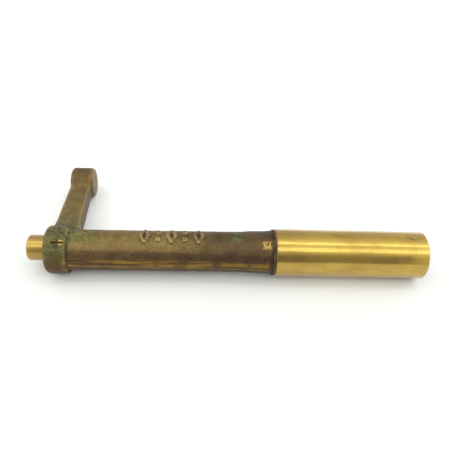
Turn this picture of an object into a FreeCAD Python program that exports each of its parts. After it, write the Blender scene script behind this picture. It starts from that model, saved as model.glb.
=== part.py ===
"""Hydrant wrench: a bronze lever casting on a turned brass spindle, with a hand grip that turns freely.

Frame, in millimetres: the origin is on the spindle's axis, in the collar's face that the drive stub
stands out of. +X runs along the barrel towards the grip, +Y points along the lever arm, +Z is up.
The wrench lies on a flat surface: the arm slopes down a little, so that its end boss rests there too.
"""
import FreeCAD
import Part
import math
import os

# Lever casting: a collar, a barrel that flares towards the grip, and an arm with a solid round boss
COLLAR_R = 16.0
COLLAR_WIDTH = 14.0
COLLAR_ROUND = 2.8
COLLAR_FACE_CUT = 0.5
COLLAR_FILLET = 1.6
BARREL_R = 13.5
BARREL_END_X = 147.6
FLARE_START_X = 136.0
FLARE_START_R = 12.8
FLARE_R = 15.0
FLARE_ROUND = 0.8

ARM_LENGTH = 75.6
ARM_ROOT_WIDTH = 17.0
ARM_ROOT_Y = 19.0
ARM_TIP_WIDTH = 14.4
ARM_THICKNESS = 12.5
ARM_ROUND = 2.5
ARM_TIP_INSET = 0.1
BOSS_R = 11.6
BOSS_START_X = -0.6
BOSS_WIDTH = 16.5
BOSS_ROUND = 2.0
BOSS_FILLET = 5.0

# The cast skin leans off the machined axis: down and forward at the collar, and back onto it at the grip
LEAN_AT_COLLAR = 1.15
LEAN_ZERO_X = 150.0
LEAN_DIRECTION = 50.0

# Raised foundry marks along the top of the barrel
MARK_FIRST_X = 63.5
MARK_PITCH = 8.8
MARK_LENGTH = 6.4
MARK_HEIGHT = 12.5
MARK_RELIEF = 0.7
MARK_OPENING = 0.5
PIP_R = 1.6

# Drive spindle: a stub with a square socket, a shank in the casting, a journal for the grip, a thread
STUB_R = 8.5
STUB_LENGTH = 12.7
SHANK_R = 8.8
SHANK_END_INSET = 0.4
STUB_CHAMFER = 0.9
SOCKET_SIZE = 9.5
SOCKET_DEPTH = 14.0
JOURNAL_R = 8.0
THREAD_R = 5.0
THREAD_CHAMFER = 0.9
FIT_CLEARANCE = 0.02
RUNNING_CLEARANCE = 0.05

# Slotted locking screw in the collar, with a dog point that enters the spindle
SCREW_X = 9.2
SCREW_ANGLE = 55.0
SCREW_R = 4.0
SCREW_BELOW_SURFACE = 0.5
DOG_R = 2.2
DOG_DEPTH = 2.6
DOG_STEP_CLEARANCE = 0.3
SLOT_WIDTH = 1.3
SLOT_DEPTH = 1.9

# Hand grip: a tube on two bushes
GRIP_R = 15.875
GRIP_BORE_R = 12.7
GRIP_START_X = 149.0
GRIP_LENGTH = 101.0
GRIP_CHAMFER = 0.8
BUSH_LENGTH = 16.0
BUSH_OUTER_END_FROM_GRIP_END = 18.0
PRESS_INTERFERENCE = 0.01

# End stack that keeps the grip on
END_FLOAT = 0.2
THRUST_WASHER_R = 15.4
THRUST_WASHER_BORE_R = 8.2
KEEPER_WASHER_R = 12.0
KEEPER_WASHER_BORE_R = 5.3
KEEPER_WASHER_THICKNESS = 2.0
NUT_ACROSS_FLATS = 17.0
NUT_HEIGHT = 12.0
NUT_SLOT_WIDTH = 3.0
NUT_SLOT_DEPTH = 5.0
NUT_CORNER_CUT = 1.1
THREAD_BEYOND_NUT = 1.4
SPLIT_PIN_R = 1.15
SPLIT_PIN_GAP = 0.1
SPLIT_PIN_HOLE_R = 1.3
SPLIT_PIN_EYE_R = 1.2
SPLIT_PIN_BEND_R = 1.5
SPLIT_PIN_BEND_CLEARANCE = 0.3
SPLIT_PIN_TAIL = 1.6

# How far a cutting shape runs past the face it opens, how close two lengths count as equal, and how
# close an edge's middle lies to the boss
CUT_MARGIN = 1.0
TOLERANCE = 0.01
EDGE_TOLERANCE = 0.05

# Places worked out from the dimensions above
X_AXIS = FreeCAD.Vector(1, 0, 0)
Y_AXIS = FreeCAD.Vector(0, 1, 0)
Z_AXIS = FreeCAD.Vector(0, 0, 1)
ORIGIN = FreeCAD.Vector(0, 0, 0)
CASTING_BORE_R = SHANK_R + FIT_CLEARANCE
LEAN_DOWN = LEAN_AT_COLLAR * math.sin(math.radians(LEAN_DIRECTION))
REST_TILT = math.degrees(math.asin((COLLAR_R + LEAN_DOWN - BOSS_R) / ARM_LENGTH))
GRIP_END_X = GRIP_START_X + GRIP_LENGTH
SHOULDER_X = GRIP_END_X - BUSH_OUTER_END_FROM_GRIP_END + END_FLOAT
NUT_START_X = SHOULDER_X + KEEPER_WASHER_THICKNESS
NUT_END_X = NUT_START_X + NUT_HEIGHT
SPINDLE_END_X = NUT_END_X + THREAD_BEYOND_NUT
SPLIT_PIN_X = NUT_END_X - NUT_SLOT_DEPTH / 2


def point(x, y, z):
    return FreeCAD.Vector(x, y, z)


def bar(x_start, x_end, radius):
    """A round bar on the spindle's axis."""
    return Part.makeCylinder(radius, x_end - x_start, point(x_start, 0, 0), X_AXIS)


def ring(x_start, x_end, outer_r, inner_r):
    return bar(x_start, x_end, outer_r).cut(bar(x_start, x_end, inner_r))


def turned(outline):
    """A solid of revolution about the spindle's axis, from its outline of (x, radius) corners."""
    corners = [point(x, radius, 0) for x, radius in outline]
    wire = Part.makePolygon(corners + corners[:1])
    return Part.Face(wire).revolve(ORIGIN, X_AXIS, 360)


def circles(shape, x, radius):
    """The shape's round edges about the spindle's axis, at one place and of one radius."""
    found = []
    for edge in shape.Edges:
        if not isinstance(edge.Curve, Part.Circle):
            continue
        same_place = abs(edge.Curve.Center.x - x) < TOLERANCE
        if same_place and abs(edge.Curve.Radius - radius) < TOLERANCE:
            found.append(edge)
    return found


def plate(outline, z_low, z_high):
    """A flat plate from its outline of (x, y) corners."""
    corners = [point(x, y, z_low) for x, y in outline]
    face = Part.Face(Part.makePolygon(corners + corners[:1]))
    return face.extrude(point(0, 0, z_high - z_low))


def lozenge(x, share):
    """A lozenge outline about (x, 0), at a share of the marks' full size."""
    half_l = MARK_LENGTH / 2 * share
    half_h = MARK_HEIGHT / 2 * share
    return [(x - half_l, 0), (x, half_h), (x + half_l, 0), (x, -half_h)]


def foundry_marks():
    """Three hollow lozenges with a pair of round pips between neighbours, in a thin shell on the barrel."""
    prisms = []
    for i in range(3):
        x = MARK_FIRST_X + 2 * MARK_PITCH * i
        opening = plate(lozenge(x, MARK_OPENING), 0, 2 * BARREL_R)
        prisms.append(plate(lozenge(x, 1), 0, 2 * BARREL_R).cut(opening))
    for i in range(2):
        x = MARK_FIRST_X + MARK_PITCH * (2 * i + 1)
        for y in (-MARK_HEIGHT / 4, MARK_HEIGHT / 4):
            prisms.append(Part.makeCylinder(PIP_R, 2 * BARREL_R, point(x, y, 0), Z_AXIS))
    shell = ring(0, BARREL_END_X, BARREL_R + MARK_RELIEF, BARREL_R - MARK_RELIEF)
    return [leaned(prism.common(shell)) for prism in prisms]


def leaned(shape):
    """The shape turned a little off the machined axis, about the point where the lean is zero."""
    direction = math.radians(LEAN_DIRECTION)
    pivot_axis = point(0, -math.sin(direction), math.cos(direction))
    lean = math.degrees(math.atan2(LEAN_AT_COLLAR, LEAN_ZERO_X))
    shape.rotate(point(LEAN_ZERO_X, 0, 0), pivot_axis, lean)
    return shape


def collar_and_barrel():
    """The leaning cast skin, faced square at the collar and joined to a flare that runs true."""
    skin = turned([
        (-COLLAR_FACE_CUT, 0),
        (-COLLAR_FACE_CUT, COLLAR_R),
        (COLLAR_WIDTH, COLLAR_R),
        (COLLAR_WIDTH, BARREL_R),
        (BARREL_END_X - CUT_MARGIN, BARREL_R),
        (BARREL_END_X - CUT_MARGIN, 0),
    ])
    skin = skin.makeFillet(COLLAR_ROUND, circles(skin, -COLLAR_FACE_CUT, COLLAR_R))
    skin = skin.makeFillet(COLLAR_FILLET, circles(skin, COLLAR_WIDTH, COLLAR_R))
    skin = skin.makeFillet(COLLAR_FILLET / 2, circles(skin, COLLAR_WIDTH, BARREL_R))
    skin = leaned(skin).cut(bar(-COLLAR_R, 0, 2 * COLLAR_R))
    flare = turned([
        (FLARE_START_X, 0),
        (FLARE_START_X, FLARE_START_R),
        (BARREL_END_X, FLARE_R),
        (BARREL_END_X, 0),
    ])
    flare = flare.makeFillet(FLARE_ROUND, circles(flare, BARREL_END_X, FLARE_R))
    return skin.fuse(flare)


def arm():
    """The arm and its end boss, level along +Y."""
    outline = [
        (0, 0),
        (ARM_ROOT_WIDTH, 0),
        (ARM_ROOT_WIDTH, ARM_ROOT_Y),
        (ARM_TIP_WIDTH, ARM_LENGTH),
        (ARM_TIP_INSET, ARM_LENGTH),
        (0, ARM_ROOT_Y),
    ]
    web = plate(outline, -ARM_THICKNESS / 2, ARM_THICKNESS / 2)
    long_edges = []
    for edge in web.Edges:
        run = edge.Vertexes[1].Point - edge.Vertexes[0].Point
        if abs(run.z) < TOLERANCE < abs(run.y):
            long_edges.append(edge)
    web = web.makeFillet(ARM_ROUND, long_edges)
    boss = Part.makeCylinder(BOSS_R, BOSS_WIDTH, point(BOSS_START_X, ARM_LENGTH, 0), X_AXIS)
    boss = boss.makeFillet(BOSS_ROUND, [edge for edge in boss.Edges if isinstance(edge.Curve, Part.Circle)])
    joined = web.fuse(boss)
    return joined.makeFillet(BOSS_FILLET, boss_junction(joined))


def boss_junction(shape):
    """The edges where the arm's web runs into the boss."""
    found = []
    for edge in shape.Edges:
        middle = edge.valueAt((edge.FirstParameter + edge.LastParameter) / 2)
        on_boss = abs(math.hypot(middle.y - ARM_LENGTH, middle.z) - BOSS_R) < EDGE_TOLERANCE
        if on_boss and middle.y < ARM_LENGTH - BOSS_R / 2 and abs(middle.z) <= ARM_THICKNESS / 2:
            found.append(edge)
    return found


def tilted(shape):
    """The shape turned about the spindle's axis to where it lies at rest."""
    turned_shape = shape.copy()
    turned_shape.rotate(ORIGIN, X_AXIS, -REST_TILT)
    return turned_shape


def screw_direction():
    angle = math.radians(SCREW_ANGLE)
    return point(0, -math.cos(angle), math.sin(angle))


def screw_cylinder(radius, low, high):
    """A cylinder on the locking screw's axis, between two distances from the spindle's axis."""
    direction = screw_direction()
    return Part.makeCylinder(radius, high - low, point(SCREW_X, 0, 0) + direction * low, direction)


def lever_casting():
    body = collar_and_barrel().multiFuse([arm()] + foundry_marks()).removeSplitter()
    body = body.cut(bar(-CUT_MARGIN, BARREL_END_X + CUT_MARGIN, CASTING_BORE_R))
    body = body.cut(screw_cylinder(SCREW_R + FIT_CLEARANCE, SHANK_R - CUT_MARGIN, COLLAR_R + CUT_MARGIN))
    return tilted(body)


def collar_screw():
    dog_end = SHANK_R - DOG_DEPTH + FIT_CLEARANCE
    body_end = SHANK_R + DOG_STEP_CLEARANCE
    head_end = COLLAR_R - SCREW_BELOW_SURFACE
    screw = screw_cylinder(SCREW_R, body_end, head_end).fuse(screw_cylinder(DOG_R, dog_end, head_end))
    slot = Part.makeBox(4 * SCREW_R, SLOT_WIDTH, 2 * SLOT_DEPTH)
    slot.translate(point(-2 * SCREW_R, -SLOT_WIDTH / 2, -SLOT_DEPTH))
    slot.rotate(ORIGIN, X_AXIS, 90 - SCREW_ANGLE)
    slot.translate(point(SCREW_X, 0, 0) + screw_direction() * head_end)
    return tilted(screw.cut(slot))


def drive_spindle():
    body = turned([
        (-STUB_LENGTH, 0),
        (-STUB_LENGTH, STUB_R - STUB_CHAMFER),
        (-STUB_LENGTH + STUB_CHAMFER, STUB_R),
        (0, STUB_R),
        (0, SHANK_R),
        (BARREL_END_X - SHANK_END_INSET, SHANK_R),
        (BARREL_END_X - SHANK_END_INSET, JOURNAL_R),
        (SHOULDER_X, JOURNAL_R),
        (SHOULDER_X, THREAD_R),
        (SPINDLE_END_X - THREAD_CHAMFER, THREAD_R),
        (SPINDLE_END_X, THREAD_R - THREAD_CHAMFER),
        (SPINDLE_END_X, 0),
    ])
    half = SOCKET_SIZE / 2
    socket = Part.makeBox(SOCKET_DEPTH, SOCKET_SIZE, SOCKET_SIZE, point(-STUB_LENGTH, -half, -half))
    lead_in_r = half * math.sqrt(2)
    lead_in = Part.makeCone(lead_in_r, half, lead_in_r - half, point(-STUB_LENGTH, 0, 0), X_AXIS)
    dog_hole = screw_cylinder(DOG_R + FIT_CLEARANCE, SHANK_R - DOG_DEPTH, SHANK_R + CUT_MARGIN)
    below_thread = point(SPLIT_PIN_X, 0, -2 * THREAD_R)
    pin_hole = Part.makeCylinder(SPLIT_PIN_HOLE_R, 4 * THREAD_R, below_thread, Z_AXIS)
    body = body.cut(socket).cut(lead_in).cut(dog_hole)
    return tilted(body.cut(pin_hole))


def thrust_washer():
    return ring(BARREL_END_X, GRIP_START_X - END_FLOAT, THRUST_WASHER_R, THRUST_WASHER_BORE_R)


def grip_sleeve():
    sleeve = ring(GRIP_START_X, GRIP_END_X, GRIP_R, GRIP_BORE_R)
    rims = circles(sleeve, GRIP_START_X, GRIP_R) + circles(sleeve, GRIP_END_X, GRIP_R)
    rims += circles(sleeve, GRIP_END_X, GRIP_BORE_R)
    return sleeve.makeChamfer(GRIP_CHAMFER, rims)


def bush(x_start):
    outer_r = GRIP_BORE_R + PRESS_INTERFERENCE
    return ring(x_start, x_start + BUSH_LENGTH, outer_r, JOURNAL_R + RUNNING_CLEARANCE)


def keeper_washer():
    return ring(SHOULDER_X, NUT_START_X, KEEPER_WASHER_R, KEEPER_WASHER_BORE_R)


def castle_nut():
    corner_r = NUT_ACROSS_FLATS / math.sqrt(3)
    corners = []
    for i in range(6):
        angle = math.radians(60 * i)
        corners.append(point(NUT_START_X, corner_r * math.cos(angle), corner_r * math.sin(angle)))
    hexagon = Part.Face(Part.makePolygon(corners + corners[:1])).extrude(point(NUT_HEIGHT, 0, 0))
    rounded = turned([
        (NUT_START_X, 0),
        (NUT_START_X, corner_r - NUT_CORNER_CUT),
        (NUT_START_X + NUT_CORNER_CUT / 2, corner_r),
        (NUT_END_X - NUT_CORNER_CUT / 2, corner_r),
        (NUT_END_X, corner_r - NUT_CORNER_CUT),
        (NUT_END_X, 0),
    ])
    bore = bar(NUT_START_X - CUT_MARGIN, NUT_END_X + CUT_MARGIN, THREAD_R + FIT_CLEARANCE)
    nut = hexagon.common(rounded).cut(bore)
    for i in range(3):
        corner = point(NUT_END_X - NUT_SLOT_DEPTH, -NUT_SLOT_WIDTH / 2, -2 * corner_r)
        slot = Part.makeBox(NUT_SLOT_DEPTH + CUT_MARGIN, NUT_SLOT_WIDTH, 4 * corner_r, corner)
        slot.rotate(ORIGIN, X_AXIS, 60 * i)
        nut = nut.cut(slot)
    return tilted(nut)


def half_round(side, z):
    """The section of one leg of the split pin: a half disc whose flat faces the other leg."""
    flat_x = side * SPLIT_PIN_GAP / 2
    low = point(flat_x, -SPLIT_PIN_R, z)
    high = point(flat_x, SPLIT_PIN_R, z)
    crown = point(flat_x + side * SPLIT_PIN_R, 0, z)
    edges = [Part.Arc(low, crown, high).toShape(), Part.LineSegment(high, low).toShape()]
    return Part.Face(Part.Wire(edges))


def split_pin():
    """Half-round wire: two legs through the spindle, an eye in the nut's slot, and bent tails."""
    bend_z = -NUT_ACROSS_FLATS / 2 - SPLIT_PIN_BEND_CLEARANCE
    eye_z = THREAD_R + SPLIT_PIN_EYE_R + SPLIT_PIN_R
    pieces = []
    for side in (-1, 1):
        centre = point(side * (SPLIT_PIN_GAP / 2 + SPLIT_PIN_BEND_R), 0, bend_z)
        pieces.append(half_round(side, bend_z).extrude(point(0, 0, eye_z - SPLIT_PIN_EYE_R - bend_z)))
        pieces.append(half_round(side, bend_z).revolve(centre, Y_AXIS, side * -90))
        tail = half_round(side, bend_z)
        tail.rotate(centre, Y_AXIS, side * -90)
        pieces.append(tail.extrude(point(side * SPLIT_PIN_TAIL, 0, 0)))
    section = half_round(1, 0)
    section.translate(point(SPLIT_PIN_EYE_R, 0, 0))
    eye = section.revolve(ORIGIN, Y_AXIS, 360)
    eye.translate(point(0, 0, eye_z))
    pin = eye.multiFuse(pieces).removeSplitter()
    pin.translate(point(SPLIT_PIN_X, 0, 0))
    return tilted(pin)


def write(name, shape):
    solids = shape.Solids
    joined = solids[0] if len(solids) == 1 else Part.makeCompound(solids)
    joined.exportStep(os.path.join("parts", name + ".step"))
    print(name, "solids", len(solids), "valid", joined.isValid(), "volume", round(joined.Volume, 1))


def main():
    os.makedirs("parts", exist_ok=True)
    write("lever_casting", lever_casting())
    write("collar_screw", collar_screw())
    write("drive_spindle", drive_spindle())
    write("thrust_washer", thrust_washer())
    write("grip_sleeve", grip_sleeve())
    write("inner_bush", bush(GRIP_START_X))
    write("outer_bush", bush(GRIP_END_X - BUSH_OUTER_END_FROM_GRIP_END - BUSH_LENGTH))
    write("keeper_washer", keeper_washer())
    write("castle_nut", castle_nut())
    write("split_pin", split_pin())


main()
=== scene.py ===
"""Looks of the hydrant wrench: sand-cast bronze lever, turned brass spindle and grip, steel end stack."""

import math

import bmesh
import bpy
import numpy as np
from mathutils import Matrix, Vector, noise


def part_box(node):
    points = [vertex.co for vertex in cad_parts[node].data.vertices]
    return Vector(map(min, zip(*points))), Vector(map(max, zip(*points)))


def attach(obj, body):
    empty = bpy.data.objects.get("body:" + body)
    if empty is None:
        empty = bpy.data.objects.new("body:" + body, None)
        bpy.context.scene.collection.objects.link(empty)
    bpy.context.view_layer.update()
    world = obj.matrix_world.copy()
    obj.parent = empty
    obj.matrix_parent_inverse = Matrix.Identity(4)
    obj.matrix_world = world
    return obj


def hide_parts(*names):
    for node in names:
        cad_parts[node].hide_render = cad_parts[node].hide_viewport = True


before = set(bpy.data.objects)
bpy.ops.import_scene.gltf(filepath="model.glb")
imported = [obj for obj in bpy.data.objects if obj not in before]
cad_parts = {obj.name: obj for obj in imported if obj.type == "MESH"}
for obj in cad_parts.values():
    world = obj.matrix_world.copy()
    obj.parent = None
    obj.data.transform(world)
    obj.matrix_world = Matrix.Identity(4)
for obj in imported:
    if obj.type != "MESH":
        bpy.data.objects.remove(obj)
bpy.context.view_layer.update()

# All shapes below are worked out in millimetres, in the frame of the CAD model, and stored in metres.
MM = 0.001


def millimetres(corner):
    return [value / MM for value in corner]


CASTING_LOW, CASTING_HIGH = (millimetres(corner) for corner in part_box("lever_casting"))
SPINDLE_LOW, SPINDLE_HIGH = (millimetres(corner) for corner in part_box("drive_spindle"))
GRIP_LOW, GRIP_HIGH = (millimetres(corner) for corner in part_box("grip_sleeve"))
NUT_LOW, _ = (millimetres(corner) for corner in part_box("castle_nut"))
WASHER_LOW, WASHER_HIGH = (millimetres(corner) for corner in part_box("keeper_washer"))
SCREW_LOW, SCREW_HIGH = (millimetres(corner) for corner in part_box("collar_screw"))

# Casting. A name that ends in R is a radius.
COLLAR_R = 16.0
COLLAR_WIDTH = 14.0
COLLAR_FACE_X = -0.5
BARREL_R = 13.45
BARREL_END_X = CASTING_HIGH[0]
FLARE_START_X = 136.0
FLARE_R = 15.0
# The cast skin's axis meets the machined axis at LEAN_ZERO_X and is LEAN_AT_COLLAR off it at the collar.
LEAN_AT_COLLAR = 1.15
LEAN_ZERO_X = 150.0
LEAN_DIRECTION = math.radians(50.0)
ARM_LENGTH = 75.6
ARM_THICKNESS = 12.5
ARM_START_Y = 8.0
ARM_ROOT_Y = 19.0
ARM_ROOT_WIDTH = 17.0
ARM_TIP_WIDTH = 14.4
ARM_LEFT_X = 0.1
ARM_ROUND = 2.6
# The arm spreads into the collar: fully up to FILLET_Y, then less and less over each fade.
FILLET_Y = 14.5
FILLET_THICKNESS = 1.9
FILLET_THICKNESS_FADE = 2.4
FILLET_WIDTH = 0.9
FILLET_WIDTH_FADE = 2.2
BOSS_R = 11.6
BOSS_START_X = -0.6
BOSS_WIDTH = 16.5
BOSS_BLEND_R = 15.0
# The wrench lies on its collar and on the boss, which is smaller, so the arm tilts down to it.
COLLAR_LOW = COLLAR_R + LEAN_AT_COLLAR * math.sin(LEAN_DIRECTION)
REST_TILT = math.asin((COLLAR_LOW - BOSS_R) / ARM_LENGTH)
BORE_CLEARANCE = 0.02
SEAT_CLEARANCE = 0.03
# Size of the cells from which the casting's skin is made
VOXEL = 0.49

# Spindle and grip
STUB_R = 8.5
STUB_CHAMFER = 0.9
SHANK_R = (SPINDLE_HIGH[1] - SPINDLE_LOW[1]) / 2
SHANK_RECESS = 0.4
JOURNAL_R = 8.0
THREAD_R = 5.0
THREAD_DEPTH = 0.9
THREAD_PITCH = 1.5
# How steep the thread's flanks are; above 1 its crests are flat
THREAD_FLANK = 1.3
THREAD_RUNOUT = 0.2
THREAD_TIP_R = THREAD_R - 1.5
SOCKET_SIZE = 9.5
SOCKET_DEPTH = 14.0
SOCKET_ROUND = 0.6
GRIP_R = GRIP_HIGH[2]
GRIP_BORE_R = 12.7
GRIP_FACE_R = 14.0
GRIP_INNER_CHAMFER = 0.7
GRIP_OUTER_CHAMFER = 0.9
GRIP_BORE_CHAMFER = 0.8
# Distance from each end of the sleeve to an extra ring in its mesh
GRIP_RING_INSET = 30
SCREW_X = (SCREW_LOW[0] + SCREW_HIGH[0]) / 2
SCREW_ANGLE = math.radians(55.0)
SCREW_R = (SCREW_HIGH[0] - SCREW_LOW[0]) / 2
SCREW_HEAD = COLLAR_R - 0.25
SCREW_DOME = 0.25
SCREW_CORE_R = 0.3
SLOT_WIDTH = 1.3
SLOT_DEPTH = 1.9
DOG_R = 2.2
DOG_REACH = 2.58
DOG_SHOULDER = 0.3

ROUND_SIDES = 160
SMALL_SIDES = 96
SLEEVE_SIDES = 192
# Short runs in each rounding of a path and in each corner of a rounded rectangle
ARC_STEPS = 5
CORNER_STEPS = 6
# Radius at which the end faces of the larger round shapes start
CORE_R = 0.5


# ---------------------------------------------------------------- mesh helpers

def add_piece(name, points, faces):
    """A mesh object from points in millimetres."""
    mesh = bpy.data.meshes.new(name)
    mesh.from_pydata([Vector(p) * MM for p in points], [], faces)
    mesh.update()
    piece = bpy.data.objects.new(name, mesh)
    bpy.context.scene.collection.objects.link(piece)
    return piece


def rounded_path(corners):
    """A path through (x, y, rounding) corners, with each rounding as an arc of short runs."""
    path = []
    for i, (x, y, rounding) in enumerate(corners):
        here = Vector((x, y))
        if rounding == 0 or i in (0, len(corners) - 1):
            path.append((x, y))
            continue
        before = Vector(corners[i - 1][:2]) - here
        after = Vector(corners[i + 1][:2]) - here
        half = before.angle(after) / 2
        reach = rounding / math.tan(half)
        centre = here + (before.normalized() + after.normalized()).normalized() * rounding / math.sin(half)
        start = here + before.normalized() * reach - centre
        end = here + after.normalized() * reach - centre
        sweep = start.angle_signed(end)
        for k in range(ARC_STEPS + 1):
            turn = -sweep * k / ARC_STEPS
            path.append((
                centre.x + start.x * math.cos(turn) - start.y * math.sin(turn),
                centre.y + start.x * math.sin(turn) + start.y * math.cos(turn),
            ))
    return path


def turned(name, rings, loop=False):
    """A round piece on the X axis from rings of (x, radius), with one pair for each side.

    A loop makes a tube, otherwise both ends are capped.
    """
    sides = len(rings[0])
    points = []
    for ring in rings:
        for i, (x, radius) in enumerate(ring):
            angle = 2 * math.pi * i / sides
            points.append((x, radius * math.cos(angle), radius * math.sin(angle)))
    faces = []
    rows = len(rings)
    for row in range(rows if loop else rows - 1):
        here, there = row * sides, (row + 1) % rows * sides
        for i in range(sides):
            j = (i + 1) % sides
            faces.append((here + i, there + i, there + j, here + j))
    if not loop:
        faces.append(tuple(range(sides)))
        faces.append(tuple(reversed(range((rows - 1) * sides, rows * sides))))
    return add_piece(name, points, faces)


def lathe(name, path, sides=ROUND_SIDES, loop=False):
    """A round piece on the X axis from its path of (x, radius)."""
    return turned(name, [[(x, radius)] * sides for x, radius in path], loop)


def loft(name, rings):
    """A closed solid through rings of points of equal count."""
    count = len(rings[0])
    points = [p for ring in rings for p in ring]
    faces = []
    for row in range(len(rings) - 1):
        here, there = row * count, (row + 1) * count
        for i in range(count):
            j = (i + 1) % count
            faces.append((here + i, here + j, there + j, there + i))
    faces.append(tuple(reversed(range(count))))
    faces.append(tuple(range((len(rings) - 1) * count, len(rings) * count)))
    return add_piece(name, points, faces)


def outward(piece):
    """Turns every face's normal out of the solid."""
    mesh = bmesh.new()
    mesh.from_mesh(piece.data)
    bmesh.ops.recalc_face_normals(mesh, faces=mesh.faces)
    mesh.to_mesh(piece.data)
    mesh.free()
    return piece


def join(pieces):
    """All pieces as one object, which keeps the first one's name."""
    first = pieces[0]
    whole = bmesh.new()
    for piece in pieces:
        whole.from_mesh(outward(piece).data)
    whole.to_mesh(first.data)
    whole.free()
    for piece in pieces[1:]:
        bpy.data.objects.remove(piece)
    return first


def bake_modifiers(piece):
    """Replaces the piece's mesh with the result of its modifiers."""
    graph = bpy.context.evaluated_depsgraph_get()
    mesh = bpy.data.meshes.new_from_object(piece.evaluated_get(graph))
    piece.modifiers.clear()
    old = piece.data
    piece.data = mesh
    bpy.data.meshes.remove(old)


def cut(piece, tools):
    """Cuts each tool out of the piece and removes the tools."""
    for tool in tools:
        modifier = piece.modifiers.new("cut", "BOOLEAN")
        modifier.operation = "DIFFERENCE"
        modifier.solver = "EXACT"
        modifier.object = outward(tool)
    bake_modifiers(piece)
    for tool in tools:
        bpy.data.objects.remove(tool)


def shade(piece, angle):
    """Smooth shading with sharp edges kept above an angle in degrees."""
    piece.data.shade_smooth()
    piece.data.set_sharp_from_angle(angle=math.radians(angle))


def coordinates(mesh):
    """The mesh's points, in metres."""
    flat = np.empty(len(mesh.vertices) * 3)
    mesh.vertices.foreach_get("co", flat)
    return flat.reshape(-1, 3)


def normals(mesh):
    """The way out of the surface at each of the mesh's points."""
    flat = np.empty(len(mesh.vertices) * 3)
    mesh.vertex_normals.foreach_get("vector", flat)
    return flat.reshape(-1, 3)


def move_points(mesh, points):
    mesh.vertices.foreach_set("co", points.ravel())
    mesh.update()


def neighbour_mean(mesh, values):
    """Each vertex's value averaged over its edges' other ends."""
    ends = np.empty(len(mesh.edges) * 2, dtype=np.int64)
    mesh.edges.foreach_get("vertices", ends)
    a, b = ends[0::2], ends[1::2]
    total = np.zeros_like(values)
    np.add.at(total, a, values[b])
    np.add.at(total, b, values[a])
    count = np.bincount(ends, minlength=len(values)).astype(float)
    count = np.maximum(count, 1.0)
    return total / (count[:, None] if values.ndim == 2 else count)


def noise_field(points, scale, octaves, offset=0.0):
    """Fractal noise at each point, about -1 to 1, with features about scale millimetres across."""
    step = Vector((offset, offset, offset))
    factor = 1.0 / (scale * MM)
    return np.array([noise.fractal(Vector(p) * factor + step, 0.8, 2.0, octaves) for p in points])


def turned_about_x(piece, angle):
    """Turns a piece round the spindle's axis by an angle in radians."""
    piece.data.transform(Matrix.Rotation(angle, 4, "X"))
    return piece


# ---------------------------------------------------------------- cast lever

def leaned(piece):
    """Turns a piece a little off the machined axis, as the cast skin lies."""
    centre = Matrix.Translation((LEAN_ZERO_X * MM, 0, 0))
    axis = Vector((0, -math.sin(LEAN_DIRECTION), math.cos(LEAN_DIRECTION)))
    turn = Matrix.Rotation(math.atan2(LEAN_AT_COLLAR, LEAN_ZERO_X), 4, axis)
    piece.data.transform(centre @ turn @ centre.inverted())
    return piece


def collar_and_barrel():
    """The collar with its rounded rims, and the straight barrel."""
    return leaned(lathe("lever_casting_cast", rounded_path([
        (COLLAR_FACE_X, CORE_R, 0),
        (COLLAR_FACE_X, COLLAR_R - 0.05, 2.8),
        (COLLAR_WIDTH, COLLAR_R - 0.2, 1.8),
        (COLLAR_WIDTH + 0.6, BARREL_R, 0.9),
        (BARREL_END_X - 1, BARREL_R, 0),
        (BARREL_END_X - 1, CORE_R, 0),
    ])))


def flare():
    """The end of the barrel, which swells to the rim beside the grip."""
    return lathe("flare", rounded_path([
        (FLARE_START_X - 14, CORE_R, 0),
        (FLARE_START_X - 14, 12.6, 0),
        (FLARE_START_X - 4, BARREL_R + 0.5, 8.0),
        (FLARE_START_X + 7, BARREL_R + 0.7, 6.0),
        (BARREL_END_X - 1.6, FLARE_R - 0.5, 1.0),
        (BARREL_END_X, FLARE_R, 0.5),
        (BARREL_END_X, CORE_R, 0),
    ]))


def rounded_section(left, right, thickness, rounding, y):
    """One ring of the arm: a rounded rectangle across X and Z at a distance y along the arm."""
    ring = []
    half = thickness / 2
    corners = [
        (right - rounding, half - rounding, 0),
        (left + rounding, half - rounding, 1),
        (left + rounding, -half + rounding, 2),
        (right - rounding, -half + rounding, 3),
    ]
    for x, z, quarter in corners:
        for k in range(CORNER_STEPS + 1):
            angle = math.pi / 2 * (quarter + k / CORNER_STEPS)
            ring.append((x + rounding * math.cos(angle), y, z + rounding * math.sin(angle)))
    return ring


def arm_right_side(y):
    """X of the arm's side that faces the grip."""
    share = (y - ARM_ROOT_Y) / (ARM_LENGTH - ARM_ROOT_Y)
    return ARM_ROOT_WIDTH + (ARM_TIP_WIDTH - ARM_ROOT_WIDTH) * max(share, 0)


def arm_half_thickness(y):
    """The arm swells into the collar, and by an arc that touches the boss's round into the boss."""
    half = ARM_THICKNESS / 2
    blend_start = math.sqrt((BOSS_R + BOSS_BLEND_R) ** 2 - (half + BOSS_BLEND_R) ** 2)
    blend_end = blend_start * BOSS_R / (BOSS_R + BOSS_BLEND_R)
    into_blend = blend_start - max(ARM_LENGTH - y, blend_end)
    if into_blend > 0:
        half += BOSS_BLEND_R - math.sqrt(BOSS_BLEND_R ** 2 - into_blend ** 2)
    return half + FILLET_THICKNESS * math.exp(-max(y - FILLET_Y, 0) / FILLET_THICKNESS_FADE)


def arm_web():
    """The arm between collar and boss."""
    rings = []
    stations = 60
    for i in range(stations + 1):
        y = ARM_START_Y + (ARM_LENGTH - ARM_START_Y) * i / stations
        root = math.exp(-max(y - FILLET_Y, 0) / FILLET_WIDTH_FADE)
        left = ARM_LEFT_X - ARM_LEFT_X * root
        right = arm_right_side(y) + FILLET_WIDTH * root
        rings.append(rounded_section(left, right, 2 * arm_half_thickness(y), ARM_ROUND, y))
    return loft("arm_web", rings)


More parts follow.
